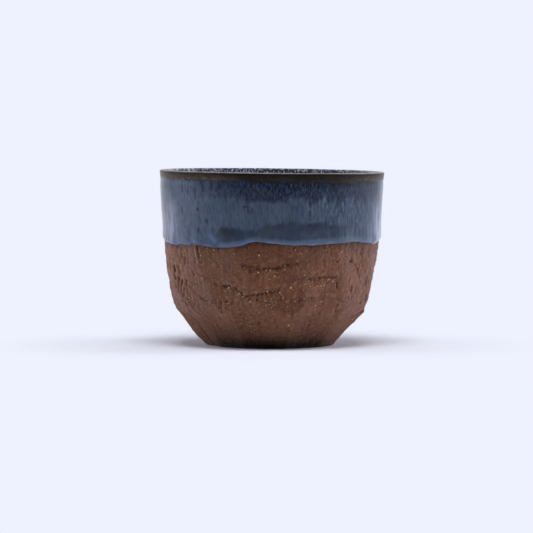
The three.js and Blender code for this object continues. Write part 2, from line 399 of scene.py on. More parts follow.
# Clay. Lumps are a height, a seed, and a size upright and round.
clay = {
    "columns": 600,
    "wallRows": 136,
    "fineRows": 300,  # for measuring the wall
    "recessRows": 9,
    "ringRows": (0.0, 0.5, 0.92),  # shares of the way across the foot ring
    "ringDark": (0.2, 0.5, 0.9),  # how dark it is there
    "behindRows": 3,  # hidden behind the glaze
    "behindSpread": 3,  # columns
    "bowlRows": 9,  # hidden under the lining
    "bowlSoftness": 1.5,
    "wallTop": 44.5,  # where the bare wall ends under the glaze
    "edgeSoftness": 0.3,  # rounding of the facets' edges
    "rubbedSoftness": 1.8,  # and where they are rubbed down
    "rubbedAt": (-60, 55, 170),  # degrees
    "rubbedWidth": 0.5,  # radians
    "cupping": (0.10, 11, 5.0, 5.0),  # slow unevenness of the cuts
    "tearing": (0.035, 12, 2.6, 0.4),  # upright tears left by the knife
    "sand": (0.08, 13, 0.35, 0.35),  # grainy skin
    "pits": (1.0, 14, 0.45, 0.4),
    "torn": (1.0, 15, 3.0, 3.5),
    "edgeShadowPatches": (1.0, 16, 1.0, 2.5),
    "ragged": (0.3, 17, 0.9, 0.9),  # how unevenly the knife's marks are cut, as a share
    "dragWidth": 0.4,
    "pitDepth": 0.38,
    "pitWidth": 0.55,
    "grainPit": (-0.3, 0.75),  # degrees and mm, from a grain to its pit
    "ledgeCut": 0.5,  # how deep the clay is cut back below the end of a stroke
    "cutFade": 1.8,  # height over which that dies away downwards
    "ledgeRise": 0.1,  # how far the clay above stands out
    "riseFade": 4.0,
    "ledgeStep": (-0.7, 1.3),  # heights from the ledge's line, between which the clay steps out
    "ledgeTorn": (-0.9, 1.3),  # height from the line where the clay is torn most, and how high that is
    "plainFrom": 0.3,  # height above the glaze's edge, where the relief dies out
    "plainTo": 2.2,
    "plainSink": 0.1,  # how far the plain clay is set back
    "hollowSize": 1.0,  # how wide a hollow is
    "edgeShadowHeight": 0.9,  # how far the painted shadow under the glaze's edge reaches down the clay
    "footRound": 0.9,  # rounding of the foot's edge
    "footDark": 5.1,  # height over which the foot is painted darker, as shade
    "lowWall": (9, 22),  # levels over which the last of that dark goes
    "footRing": 17.4,  # inside of the ring that the mug stands on
    "recess": 1.2,
    "recessBevel": 1.5,
    "recessRings": 0.07,  # height of the rings that trimming leaves
    "recessStep": 3.2,  # from one ring to the next
}

# Ends of knife strokes on the front: strength, and the line as (turn in degrees, level)
frontLedges = [
    (1.0, [(-16, 33), (-11, 32.3), (2, 32.3), (6, 33), (15, 34.4)]),
    (1.0, [(14, 27.8), (24, 28.3), (30, 28.6), (39, 28.5)]),
    (1.0, [(-36, 26), (-32, 25.3), (-24, 25.2), (-19, 24), (-16, 22.5)]),
    (1.0, [(-17, 22.4), (-12, 21.8), (-7, 22.6), (1, 23.6), (8, 24)]),
    (0.5, [(-52, 20), (-41, 19.3), (-30, 18.9), (-18, 18.5)]),
    (0.6, [(10, 20), (22, 20.4), (32, 20.7), (43, 19.6), (52, 18.6)]),
]

# Crests and bent drag marks on the front: height, width and line
frontScores = [
    (0.15, 1.1, [(-65.5, 37.5), (-61.5, 33.5), (-55, 30.5), (-50, 30.5)]),
    (0.35, 0.7, [(-68, 24), (-63, 20), (-57.5, 17), (-55, 14)]),
    (0.2, 0.7, [(-45, 40.5), (-44, 36.5), (-43.5, 34)]), (0.15, 0.7, [(-42, 40), (-40.5, 33)]),
    (0.3, 0.8, [(-68.5, 11.5), (-69, 8), (-68.5, 2)]), (-0.6, 0.5, [(-64.5, 11), (-65.5, 7), (-65, 1.5)]),
    (0.15, 0.5, [(-64.5, 32), (-64.5, 28)]), (-0.35, 0.45, [(-30.5, 18.8), (-31.2, 15)]),
    (-0.55, 0.4, [(49, 34.5), (53, 32.5), (54, 31.5)]),
    (-0.06, 0.8, [(-11, 31.7), (-7, 32.1), (2, 32.1), (4.5, 32.3)]),
    (-0.13, 0.7, [(3, 32.2), (4.5, 32.3), (8, 33), (13, 33.9)]),
    (-0.12, 0.55, [(-30.5, 25.2), (-27, 25), (-23.5, 25)]), (-0.2, 0.45, [(-10, 21.5), (-5, 22.3)]),
    (-0.2, 0.45, [(3.5, 22.7), (6, 23.1)]), (1.1, 4.5, [(-78, 5), (-100, 5)]),
    (-0.6, 3.0, [(-80, 23.5), (-100, 23.5)]), (0.35, 5.0, [(82, 42), (100, 42)]),
    (1.0, 3.2, [(78, 9.8), (100, 9.8)]), (1.15, 1.6, [(79, 13), (100, 13)]),
    (0.5, 0.6, [(82, 13.3), (86, 13)]), (-0.6, 0.45, [(68, 11.8), (78, 14)]),
]
# Straight drag marks on the front: height, and turn and level of their two ends
frontDrags = [
    (-0.45, -43.5, 40, -42.5, 35), (-0.65, -66.5, 32, -66.5, 26.5), (-0.65, -63, 27.5, -64, 23),
    (-0.6, -60, 26.5, -61.5, 22), (-0.6, -58, 23.5, -60, 20.5), (-0.4, -58, 37, -58, 35),
    (-0.4, -55.5, 35, -55.5, 33), (-0.35, -48, 30, -48, 28.5), (-0.4, -55, 26.5, -56, 24.5),
    (-0.25, 11, 20, 12.5, 12.5), (-0.3, 5.5, 21, 5.5, 19), (-0.15, -18.5, 19, -19.5, 14),
    (-0.2, 7.5, 17, 8, 14), (-0.45, 39, 27, 40, 24), (-0.5, 51, 24.5, 51.5, 22.5), (-0.5, 55, 24, 56, 22),
    (-0.65, 68.5, 20.5, 69.5, 18.5), (-0.55, 65.5, 28, 66, 24.5),
]

# Pits on the front, and sandy grains that each lie under a pit of their own: turn in degrees and level
frontPits = [
    (-45, 20), (-43, 19.5), (4, 37.5), (-14, 21), (-8, 20), (57, 37), (48, 34), (50, 20), (42.5, 15),
    (56.5, 17.5), (-26, 25), (-61, 39), (31, 18.5), (-40, 19),
]
frontGrains = [
    (-6.5, 37), (2, 28.7), (-14.5, 32), (-7, 30.5), (-15.5, 22), (-16, 21), (-18.5, 24), (-12, 19),
    (-2.5, 23), (11, 24.5), (11.5, 9.7), (18.5, 20), (21, 27.2), (12.5, 39), (31, 18.9), (-37.5, 39.2),
    (-29, 38.3), (-40.5, 19.4), (-26.5, 18), (-40.5, 33), (-53.5, 19.2), (4.5, 22.7),
]
# Patches of coarse grit on the front: turn in degrees, level and half width
frontGrit = [
    (12, 37.6, 1.8), (12.5, 24.6, 1.8), (21, 26.6, 2.0), (28, 18.5, 2.2), (-6, 29.5, 1.6), (-14, 20.6, 1.8),
    (-34, 38.3, 2.4), (-41, 27, 2.0), (46, 33.5, 2.6),
]
# Patches of painted shade on the front, some of them painted shadow along the ledges: share, width and line
frontShadePatches = [
    (0.26, 3.0, [(-90, 43.5), (90, 43.5)]), (0.30, 8.0, [(-37, 39), (-17, 39)]),
    (0.20, 6.0, [(-36, 28), (-24, 29)]), (0.30, 6.0, [(-53, 20.5), (-40, 18)]),
    (0.18, 6.0, [(12, 40), (55, 39.5)]), (0.16, 3.5, [(18, 33), (19, 16)]),
    (0.15, 4.5, [(50, 40), (70, 40)]), (0.14, 4.5, [(-14, 16.5), (8, 16)]),
    (0.24, 1.5, [(-13, 32.3), (2, 32.3), (13, 34)]),
    (0.24, 1.5, [(-20, 24.4), (-14, 22.6), (-11, 22.4), (-4, 23)]),
    (0.28, 0.9, [(12, 28.2), (24, 28.4), (37, 28.5)]), (0.08, 0.9, [(-35, 25.5), (-24, 24.8)]),
    (0.22, 0.8, [(16, 20.2), (24, 20.4), (34, 20.6)]), (0.22, 0.8, [(-46, 19.9), (-34, 19.3)]),
]

# Ledges and drag marks for the sides and the back, by turns in degrees: from and to, or how far they stray
scatter = {
    "seed": 5,
    "ledgeLevels": (33.0, 26.0, 19.5),
    "ledgeTurns": (74, 290, 40),  # from, to and step
    "ledgeStray": 12,
    "ledgeLength": (14, 32),
    "ledgeKinks": (0, 0.3, 0.7, 1),  # along its length
    "levelStray": 2.2,
    "kinkStray": 0.8,
    "ledgeStrength": (0.4, 1.0),
    "dragTurns": ((-78, -46, 22), (42, 80, 16), (80, 282, 70)),  # from, to and how many
    "dragTop": (10, 39),
    "dragLean": (-2, 2),
    "dragLength": (1.0, 5.0),
    "dragHeight": (-0.35, -0.12),
}


# The marks of the front, and random ones spaced as on the front
def scatterMarks():
    dice = np.random.default_rng(scatter["seed"])
    ledges, drags = list(frontLedges), list(frontDrags)
    kinks, starts = np.array(scatter["ledgeKinks"]), np.arange(*scatter["ledgeTurns"])
    stray, rise, kink = scatter["ledgeStray"], scatter["levelStray"], scatter["kinkStray"]
    for level in scatter["ledgeLevels"]:
        for start in starts + dice.uniform(-stray, stray, len(starts)):
            turns = start + dice.uniform(*scatter["ledgeLength"]) * kinks
            levels = level + dice.uniform(-rise, rise) + dice.uniform(-kink, kink, len(kinks))
            ledges.append((dice.uniform(*scatter["ledgeStrength"]), list(zip(turns, levels))))
    for first, last, count in scatter["dragTurns"]:
        for turn in dice.uniform(first, last, count):
            top, lean = dice.uniform(*scatter["dragTop"]), dice.uniform(*scatter["dragLean"])
            low = top - dice.uniform(*scatter["dragLength"])
            drags.append((dice.uniform(*scatter["dragHeight"]), turn, top, turn + lean, low))
    return ledges, drags


# Height of the tool marks on the clay, and how torn the clay is there from 0 to 1.
# At a ledge the clay above a line stands proud, the clay below is cut back, and both die away from the line
# and at its ends. Crests and drag marks are bell curves along their lines, and a pit is a round dip.
def toolMarks(turn, level):
    ledges, drags = scatterMarks()
    height = np.zeros(np.broadcast(turn, level).shape)
    torn = np.zeros_like(height)
    tornAt, tornHeight = clay["ledgeTorn"]
    for strength, path in ledges:
        turns, levels = np.radians([at for at, _ in path]), [up for _, up in path]
        gap = turnGap(turn, turns[0])
        share = np.clip(gap / (turns[-1] - turns[0]), 0, 1)
        above = level - np.interp(gap, turns - turns[0], levels)
        proud = ease(above, *clay["ledgeStep"])
        ends = strength * np.sin(np.pi * share) ** 0.3  # blunt, at the two ends of the line only
        rise = clay["ledgeRise"] * np.exp(-np.maximum(above, 0) / clay["riseFade"]) * proud
        cut = clay["ledgeCut"] * np.exp(np.minimum(above, 0) / clay["cutFade"]) * (1 - proud)
        height += ends * (rise - cut)
        torn += ends * bell(above - tornAt, tornHeight)
    for rise, width, path in frontScores:
        height += rise * nearPath(turn, level, path, width)
    for rise, turn0, level0, turn1, level1 in drags:
        height += rise * nearPath(turn, level, [(turn0, level0), (turn1, level1)], clay["dragWidth"])
    for at, up, width in frontGrit:
        torn += nearPath(turn, level, [(at, up), (at, up)], width)
    aside, higher = clay["grainPit"]
    for pit in frontPits + [(at + aside, up + higher) for at, up in frontGrains]:
        height -= clay["pitDepth"] * nearPath(turn, level, [pit, pit], clay["pitWidth"])
    return height, np.clip(torn, 0, 1)


# Levels at equal steps up the wall, measured along its mean profile, and that step
def wallLevels(turn):
    fine = np.linspace(0, clay["wallTop"], clay["fineRows"])
    mean = clayRadius(turn, fine[:, None]).mean(axis=1)
    along = np.concatenate([[0], np.cumsum(np.hypot(np.diff(mean), np.diff(fine)))])
    level = np.interp(np.linspace(0, along[-1], clay["wallRows"]), along, fine)[:, None]
    return level, along[-1] / clay["wallRows"]


# The clay's radius with its edges rounded off, and more so where they are rubbed down
def roundedWall(turn, level, pitch):
    radius = clayRadius(turn, level)
    sizes = clay["edgeSoftness"] / pitch, clay["rubbedSoftness"] / pitch
    firm, soft = [blur(radius, size, size) for size in sizes]
    rubbed = sum(bell(turnGap(turn, math.radians(at)), clay["rubbedWidth"]) for at in clay["rubbedAt"])
    return firm + (soft - firm) * np.minimum(rubbed, 1)


# Relief of the bare clay, and how torn it is: tool marks cut unevenly, plus slow lumps, upright tears and
# sand, which is coarser on torn clay, less the pits
def clayRelief(turn, level, pitch):
    relief, torn = toolMarks(turn, level)
    kinds = ("cupping", "tearing", "sand", "pits", "torn", "ragged")
    field = {kind: lumps(clay[kind], relief.shape, pitch, pitch) for kind in kinds}
    relief = np.maximum(relief, 0) + np.minimum(relief, 0) * np.clip(1 + field["ragged"], 0.4, 1.6)
    torn = np.maximum(torn, 0.7 * ease(field["torn"], 0.9, 1.9))  # some clay is torn away from the marks
    relief += field["cupping"]
    relief += field["tearing"]
    relief += field["sand"] * (0.9 + 0.4 * torn)
    relief -= clay["pitDepth"] * ease(field["pits"], 2.3, 3.6) * (0.6 + torn)  # only the highest lumps
    return relief, torn


# Marks that colour the wall: how hollow it is against the mean around it, for painted shade in hollows and a
# painted highlight on crests, a painted shadow that dies away below the glaze's edge, and painted shade at
# the foot and in patches, whichever is darker
def clayMarks(turn, level, pitch, edge, bare, relief):
    size = clay["hollowSize"] / pitch
    # painted shadow under the glaze's edge, in patches
    edgeShadowPatches = 0.4 + 0.6 * ease(lumps(clay["edgeShadowPatches"], (1, turn.size), pitch, pitch), -0.6, 0.9)
    edgeShadow = edgeShadowPatches * np.exp(-np.maximum(edge - level, 0) / (clay["edgeShadowHeight"] * edgeShadowPatches)) * bare
    # painted shade at the foot, fading up the wall
    foot = np.exp(-((level / clay["footDark"]) ** 1.6)) + 0.07 * (1 - ease(level, *clay["lowWall"]))
    foot = foot * (0.45 + 0.55 * ease(np.abs(np.cos(turn)), 0.35, 0.75))  # the painted shade is weaker at the two sides
    # painted shade in patches
    patchShade = sum(most * nearPath(turn, level, path, width) for most, width, path in frontShadePatches)
    dark = np.maximum(foot, np.minimum(patchShade, 0.5))
    return {"reliefShading": blur(relief, size, size) - relief, "edgeShadow": edgeShadow, "foot": dark}


# The wall is the rounded clay plus its relief, over a foot rounded to a quarter circle. Rows go on below it,
# across the underside, and above it, behind the glaze and down the bowl, to a pole at each end.
def clayBody():
    turn = roundTurns(clay["columns"])
    level, pitch = wallLevels(turn)
    edge = glazeEdge(turn)
    bare = 1 - ease(level, edge + clay["plainFrom"], edge + clay["plainTo"])
    relief, torn = clayRelief(turn, level, pitch)
    relief *= bare
    radius = roundedWall(turn, level, pitch) + relief - clay["plainSink"] * (1 - bare)
    belowRound = np.clip(1 - level / clay["footRound"], 0, 1)
    radius -= clay["footRound"] * (1 - np.sqrt(1 - belowRound**2))
    wall = place(radius, turn, level)

    # underside: a trimmed recess with fine rings, a bevel and the flat ring
    ringIn, bevel = clay["footRing"], clay["recessBevel"]
    recessRadius = np.linspace(bevel, ringIn - bevel, clay["recessRows"])[:, None]
    rings = np.sin(2 * np.pi * recessRadius / clay["recessStep"] + turn)
    recess = place(recessRadius, turn, clay["recess"] + clay["recessRings"] * rings)
    ringRadius = ringIn + np.array(clay["ringRows"])[:, None] * (radius[:1] - ringIn)
    under = np.vstack([recess, place(ringRadius, turn, 0.0)])

    # hidden, in a few rows: up behind the glaze, over the lip and down to the floor
    gap, inset, out, down, least = 2.0, 1.2, 0.8, 0.5, 1.0  # off the wall's top, lip, lining and axis
    rise = np.linspace(clay["wallTop"] + gap, mugHeight - gap, clay["behindRows"])[:, None]
    hiddenWall = blur(clayRadius(turn, rise), noSpread, clay["behindSpread"])
    behind = place(hiddenWall - clay["plainSink"], turn, rise)
    over = place(np.array([[lipOuter - inset], [lipInner + inset]]), turn, mugHeight - inset)
    innerRadius, innerLevel = liningProfile(clay["bowlRows"], clay["bowlSoftness"])
    inside = place(np.maximum(innerRadius[1:-1] + out, least), turn, innerLevel[1:-1] - down)
    grid = np.vstack([under, wall, behind, over, inside])
    poles = [(0, 0, clay["recess"]), (0, 0, liningFloor - down)]

    fields = {**clayMarks(turn, level, pitch, edge, bare, relief), "torn": torn}
    hidden = ((len(under), len(grid) - len(under) - len(wall)), (0, 0))
    marks = {name: np.pad(field, hidden) for name, field in fields.items()}
    # the painted shade goes on over the ring that the mug stands on
    marks["foot"][len(recess):len(under)] = np.array(clay["ringDark"])[:, None]
    return buildPiece("stoneware_clay", grid, poles, marks), wall, torn * bare


# Brown clay with streaks drawn out upright, then grit where it is torn most, then the marks of the wall:
# painted shade in hollows, a painted highlight on crests, a painted shadow under the glaze's edge, and
# painted shade at the foot and in patches
def clayMaterial():
    material, tree, shader = newMaterial("bare stoneware")
    broad = noise(tree, 110, 70, 3.0)
    coarse = noise(tree, 800, 800, 4.0, 0.7)
    fine = noise(tree, 1900, 1900, 3.0, 0.65)
    dragged = noise(tree, 900, 160, 3.0)
    reliefShading = mark(tree, "reliefShading")
    grit = spread(tree, mark(tree, "torn"), 0.0, 0.8, 0.72, 1.0)
    ground = blend(tree, spread(tree, broad, 0.3, 0.7), shade(116, 74, 54), shade(135, 89, 66))
    colour = paint(tree, ground, (
        (spread(tree, dragged, 0.45, 0.75, 0.0, 0.35), shade(82, 50, 35)),
        (times(tree, spread(tree, coarse, 0.54, 0.68, 0.0, 0.6), grit), shade(164, 116, 82)),
        (times(tree, spread(tree, coarse, 0.32, 0.46, 0.65, 0.0), grit), shade(64, 39, 28)),
        (times(tree, spread(tree, fine, 0.57, 0.7, 0.0, 0.7), grit), shade(184, 136, 94)),
        (times(tree, spread(tree, fine, 0.3, 0.43, 0.8, 0.0), grit), shade(48, 29, 20)),
        # painted shadow under the glaze's edge
        (marked(tree, "edgeShadow", 0.85), shade(50, 32, 25)),
        # painted shade in hollows, then a painted highlight on crests
        (spread(tree, reliefShading, 0.02, 0.28, 0.0, 0.75), shade(54, 33, 23)),
        (spread(tree, reliefShading, -0.24, -0.03, 0.4, 0.0), shade(168, 124, 98)),
        # painted shade at the foot and in patches
        (marked(tree, "foot", 1.0), shade(23, 12, 7)),
    ))
    height = addNode(tree, "ShaderNodeSeparateXYZ", {"Vector": objectPoint(tree)}).outputs["Z"]
    skin = bump(tree, dragged, 0.0001, 0.6)
    setInputs(tree, shader, {
        "Base Color": colour,
        "Roughness": 0.8,
        "Specular IOR Level": 0.15,
        "Sheen Weight": spread(tree, height, 0.01, 0.02, 0.25, 0.88),  # a dusty bloom, rubbed off at the foot
        "Sheen Roughness": 0.38,
        "Sheen Tint": shade(238, 209, 203),
        "Normal": bump(tree, noise(tree, 2400, 2400, 3.0, 0.7), 0.00045, 0.9, skin),
    })
    return material


clayPiece, clayWall, clayTorn = clayBody()
dress(clayPiece, clayMaterial(), "stoneware_body")


# Sandy grains in the clay: small rough lumps, sunk into the wall where the knife has laid them open
grains = {
    "count": 2000,
    "rings": 3,
    "sides": 6,
    "smallest": 0.08,  # radius
    "largest": 0.28,
    "shown": 0.44,  # radius of the largest that show on the front
    "shownSize": (0.45, 1.0),  # against that
    "shownTone": (0.55, 1.0),
    "plain": 0.07,  # share of grains on smooth clay, against torn clay
    "lowest": 3.0,  # level
    "belowGlaze": 0.5,
    "fewBelow": (8, 17),  # levels over which they get fewer, downwards
    "rough": (0.72, 1.15),  # how far their points are pushed in and out
    "stretch": (0.75, 1.25),  # along x, y and z
    "seed": 21,
}


# Every grain is a sphere of a few rings whose points are pushed in and out, half sunk at a point of the wall
def sandGrains():
    dice = np.random.default_rng(grains["seed"])
    columns = clayWall.shape[1]
    levels = clayWall[:, 0, 2]
    inBare = (levels > grains["lowest"]) & (levels < bandLow.min() - grains["belowGlaze"])
    chance = (grains["plain"] + clayTorn) * inBare[:, None]
    chance *= 0.3 + 0.7 * ease(levels[:, None], *grains["fewBelow"])
    cell = dice.choice(chance.size, grains["count"], p=(chance / chance.sum()).ravel())
    size = grains["smallest"] + (grains["largest"] - grains["smallest"]) * dice.random(grains["count"]) ** 2
    frontTurn = np.radians([turn for turn, _ in frontGrains])
    frontRow = np.searchsorted(levels, [level for _, level in frontGrains])
    frontCell = frontRow * columns + np.round(frontTurn / (2 * np.pi) * columns).astype(int) % columns
    cell = np.concatenate([cell, frontCell])
    size = np.concatenate([size, grains["shown"] * dice.uniform(*grains["shownSize"], len(frontCell))])
    count = len(size)

    rings, sides = grains["rings"], grains["sides"]
    pole = np.pi * np.arange(1, rings + 1)[:, None] / (rings + 1)
    side = 2 * np.pi * np.arange(sides)[None, :] / sides
    ball = [np.sin(pole) * np.cos(side), np.sin(pole) * np.sin(side), np.cos(pole)]
    ball = np.stack(np.broadcast_arrays(*ball), axis=-1).reshape(-1, 3)
    ball = np.vstack([ball, (0, 0, 1), (0, 0, -1)])
    rough = dice.uniform(*grains["rough"], (count, len(ball), 1))
    rough = rough * dice.uniform(*grains["stretch"], (count, 1, 3))
    points = clayWall.reshape(-1, 3)[cell][:, None, :] + ball * rough * size[:, None, None]

    quads, caps = gridFaces(rings, sides)
    quads, caps = quads[:-1, :, [0, 3, 2, 1]].reshape(-1, 4), caps[:, ::-1]  # turned to face out
    start = len(ball) * np.arange(count)[:, None, None]
    faces = (quads + start).reshape(-1, 4).tolist() + (caps + start).reshape(-1, 3).tolist()
    tone = dice.random(count) ** 2.4  # most grains are dark
    tone[-len(frontCell):] = dice.uniform(*grains["shownTone"], len(frontCell))
    return buildMesh("sand_grains", points.reshape(-1, 3), faces, {"tone": np.repeat(tone, len(ball))})


# From brown to sandy by the grain's tone, with darker mottles
def grainMaterial():
    material, tree, shader = newMaterial("sandy grain")
    tone = spread(tree, mark(tree, "tone"), 0.3, 1.0)
    mottle = spread(tree, noise(tree, 3000, 3000), 0.45, 0.7, 0.0, 0.45)
    colour = blend(tree, tone, shade(146, 96, 60), shade(246, 204, 152))
    colour = blend(tree, mottle, colour, shade(120, 76, 50))
    setInputs(tree, shader, {"Base Color": colour, "Roughness": 0.6})
    return material


dress(sandGrains(), grainMaterial(), None)


# Outer glaze
band = {
    "columns": 720,
    "rows": 80,
    "coat": 0.6,  # thickness
    "bead": 0.25,  # how much thicker it is at the rolled edge
    "beadHeight": 2.2,
    "lipCoat": 0.35,  # how thick it is at the top
    "thinning": 3.0,  # height below the top, over which it thins
    "ripple": (0.10, 31, 1.0, 1.1),  # fine waver of the lower edge
    "sag": (0.05, 32, 4.0, 3.0),  # slow unevenness of the coat
    "sagBelow": 3.0,  # height over which that dies out at the top
    "sagAbove": 2.0,  # and at the edge
    "fullerRight": [(44.0, 0.75), (51.0, 0.4), (59.0, 0.25), (65.5, 0.55)],  # level, and what it gains there
    "fullerLeft": [(48.0, 0.0), (53.0, 0.15), (61.0, 0.2), (65.5, 0.1)],
    "fullerWidth": 0.6,  # radians
    "softness": 0.9,  # how far the glaze rounds the facets below it
    "backDepth": 0.25,  # how deep the coat's back lies in the clay
    "ragged": (1.0, 35, 2.2, 0.45),  # unevenness of the colours, upright and slow
    "uneven": (1.0, 36, 1.0, 2.0),
    "patchy": (1.0, 37, 1.0, 1.6),
    "facetShadeWaver": (0.2, 33, 1, 5),  # size in columns
    "skirtWaver": (0.2, 34, 1, 9),
    "rimHeight": (0.5, 0.45),  # of the blue at the edge: least, and more in patches
    "skirtFrom": (0.6, 2.0),  # how high the pale skirt above the edge has to be to show
    "skirtEnd": (-1.3, 0.4),  # heights from its top, over which it ends
    "skirtLine": 0.35,  # width of the blue line on its top
    "facetShadeFrom": (-0.4, 1.0),  # heights from the skirt's top, over which the painted facet shade sets in
    "poolFull": (-4.5, -0.8),  # heights from its top, over which it gets darker
    "facetShadeEnd": (-0.7, 1.0),  # depths below that top, over which it ends
    "streakFrom": (0.5, 4),  # heights above the edge, over which the streaks set in
    "streakRise": (52, 60),  # levels over which they get stronger
}

# By turn in degrees: level where the dark streaks below the lip end, and how dark they are
streakEnd = [
    (-75, 60.5), (-36, 60.0), (-20, 58.8), (-10, 57.2), (0, 57.4), (9, 58.0), (20, 58.0), (37, 57.8),
    (52, 57.3), (75, 57.5), (130, 58.5), (180, 57.4), (230, 59.0),
]
streakDepth = [
    (-80, 0.2), (-45, 0.25), (-34, 0.5), (-22, 0.8), (-10, 0.95), (22, 1.0), (36, 0.9), (50, 0.7),
    (70, 0.5), (120, 0.9), (180, 0.7), (235, 0.95),
]
# Height over which they fade out
streakFade = [(-80, 4.0), (-18, 3.4), (-10, 1.5), (5, 1.5), (14, 2.8), (80, 4.0), (180, 2.0), (230, 3.0)]
# How strongly the glaze is streaked
streakShare = [
    (-80, 0.6), (-40, 0.55), (-22, 0.35), (12, 0.4), (26, 0.95), (80, 1.0), (150, 0.6), (220, 0.9),
]
# Level where the painted shade over the tops of the knife's facets under the coat ends, and how dark it is
facetShadeTop = [
    (-60, 44.0), (-31, 44.5), (-26, 47.5), (-12, 47.8), (-8, 46.8), (-3, 49.0), (5, 50.0), (20, 49.7),
    (41, 48.5), (80, 47.5), (120, 49.2), (160, 46.5), (210, 48.5), (255, 45.5),
]
facetShadeDepth = [
    (-80, 0.1), (-32, 0.05), (-26, 0.9), (-18, 0.9), (-8, 0.5), (-2, 1.0), (22, 0.95), (34, 0.65),
    (46, 0.3), (75, 0.15), (100, 0.7), (150, 0.5), (200, 0.9), (240, 0.4),
]
# Height of the paler, thinner stretch right above the edge
skirtHeight = [
    (-33, 0.0), (-27, 2.0), (-12, 2.0), (-4, 1.5), (12, 1.5), (24, 2.2), (40, 2.6), (60, 1.6), (90, 1.4),
    (150, 2.4), (220, 2.6), (290, 0.0),
]
# How far the brown of the lip runs down into the glaze, and how blue the rolled edge is
lipRun = [
    (-80, 0.6), (-40, 0.6), (-28, 0.7), (-12, 1.0), (10, 1.1), (26, 1.7), (45, 2.4), (70, 2.0), (130, 1.4),
    (220, 0.8),
]
rimDepth = [
    (-80, 0.9), (-50, 1.0), (-32, 0.8), (-24, 0.6), (-14, 0.4), (-9, 0.9), (2, 0.8), (8, 0.5), (50, 0.45),
    (75, 0.7), (180, 0.8),
]
# Dark runs in the glaze: strength, width and line
darkRuns = [
    (0.9, 0.6, [(-38, 64.5), (-37, 61.5)]), (0.7, 0.5, [(-42.5, 61.5), (-42, 58.5)]),
    (0.4, 0.4, [(-52.5, 49.5), (-51, 47)]), (0.5, 0.4, [(-49, 45), (-47.5, 44)]),
    (0.9, 0.45, [(-14.5, 55.5), (-12, 55.7), (-11.7, 53.4)]), (0.55, 1.5, [(-25.5, 46.2), (-23, 43.8)]),
]
# Upright dark spots: strength, width, turn, and level of their two ends
darkSpots = [
    (0.8, 0.45, -52, 64.5, 61), (0.6, 0.4, -64, 64.5, 62.5), (0.9, 0.4, -32, 64.5, 62),
    (0.9, 0.4, -27, 64, 62), (0.7, 0.35, -48, 61.5, 60.5), (1.0, 0.5, -41, 54.5, 54),
    (0.5, 0.4, -41.5, 52, 51.5), (0.9, 0.7, -35.5, 50, 49.5), (1.0, 0.6, -41, 46.5, 46),
    (0.6, 0.35, -51, 50.5, 50.2), (0.8, 0.4, -50, 43, 42.7), (1.0, 0.4, 20, 56.8, 55.6),
    (0.9, 0.4, 20, 54, 52.4), (0.8, 0.35, 20, 51.4, 50.6), (1.0, 0.55, 20, 49, 48.5),
    (0.7, 0.4, 29, 50, 48.5), (0.8, 0.45, 32.5, 48.2, 47.8), (0.7, 0.35, 38, 57, 53.5),
    (0.6, 0.4, 49, 49, 48), (0.4, 0.4, 43, 48.6, 48.2), (0.6, 0.4, -53, 55, 52),
    (0.8, 0.35, -10, 55.2, 53.6), (0.4, 0.5, -32, 47, 46.5),
]
# Pale clouds painted as reflections of the bright room, most of them at the two sides, and a white lick
# painted as a glint on the rim; then bright blue licks that stand above the edge
paintedReflections = [
    (0.66, 8.5, [(-66, 49), (-66, 44)]), (0.12, 12.0, [(-50, 62), (-48, 48)]),
    (0.9, 6.5, [(75, 50), (75, 42)]), (0.35, 4.0, [(63, 46), (63, 42)]), (0.3, 4.0, [(80, 62), (80, 52)]),
    (0.12, 4.0, [(44, 44.5), (60, 45)]), (1.0, 0.6, [(70.5, 43), (70.5, 41.5)]),
    (0.3, 6.0, [(150, 55), (155, 50)]),
]
blueRuns = [(0.45, 0.9, [(-34.5, 44.5), (-31, 42)]), (0.45, 0.7, [(-46.5, 43), (-45.5, 42), (-42, 41.5)])]


# How much thicker the coat hangs on the two sides: it fades to the front and the back as a bell curve
def fuller(turn, level):
    extra = 0
    for side, table in ((np.pi / 2, band["fullerRight"]), (-np.pi / 2, band["fullerLeft"])):
        levels, more = np.array(table).T
        extra = extra + np.interp(level, levels, more) * bell(turnGap(turn, side), band["fullerWidth"])
    return extra


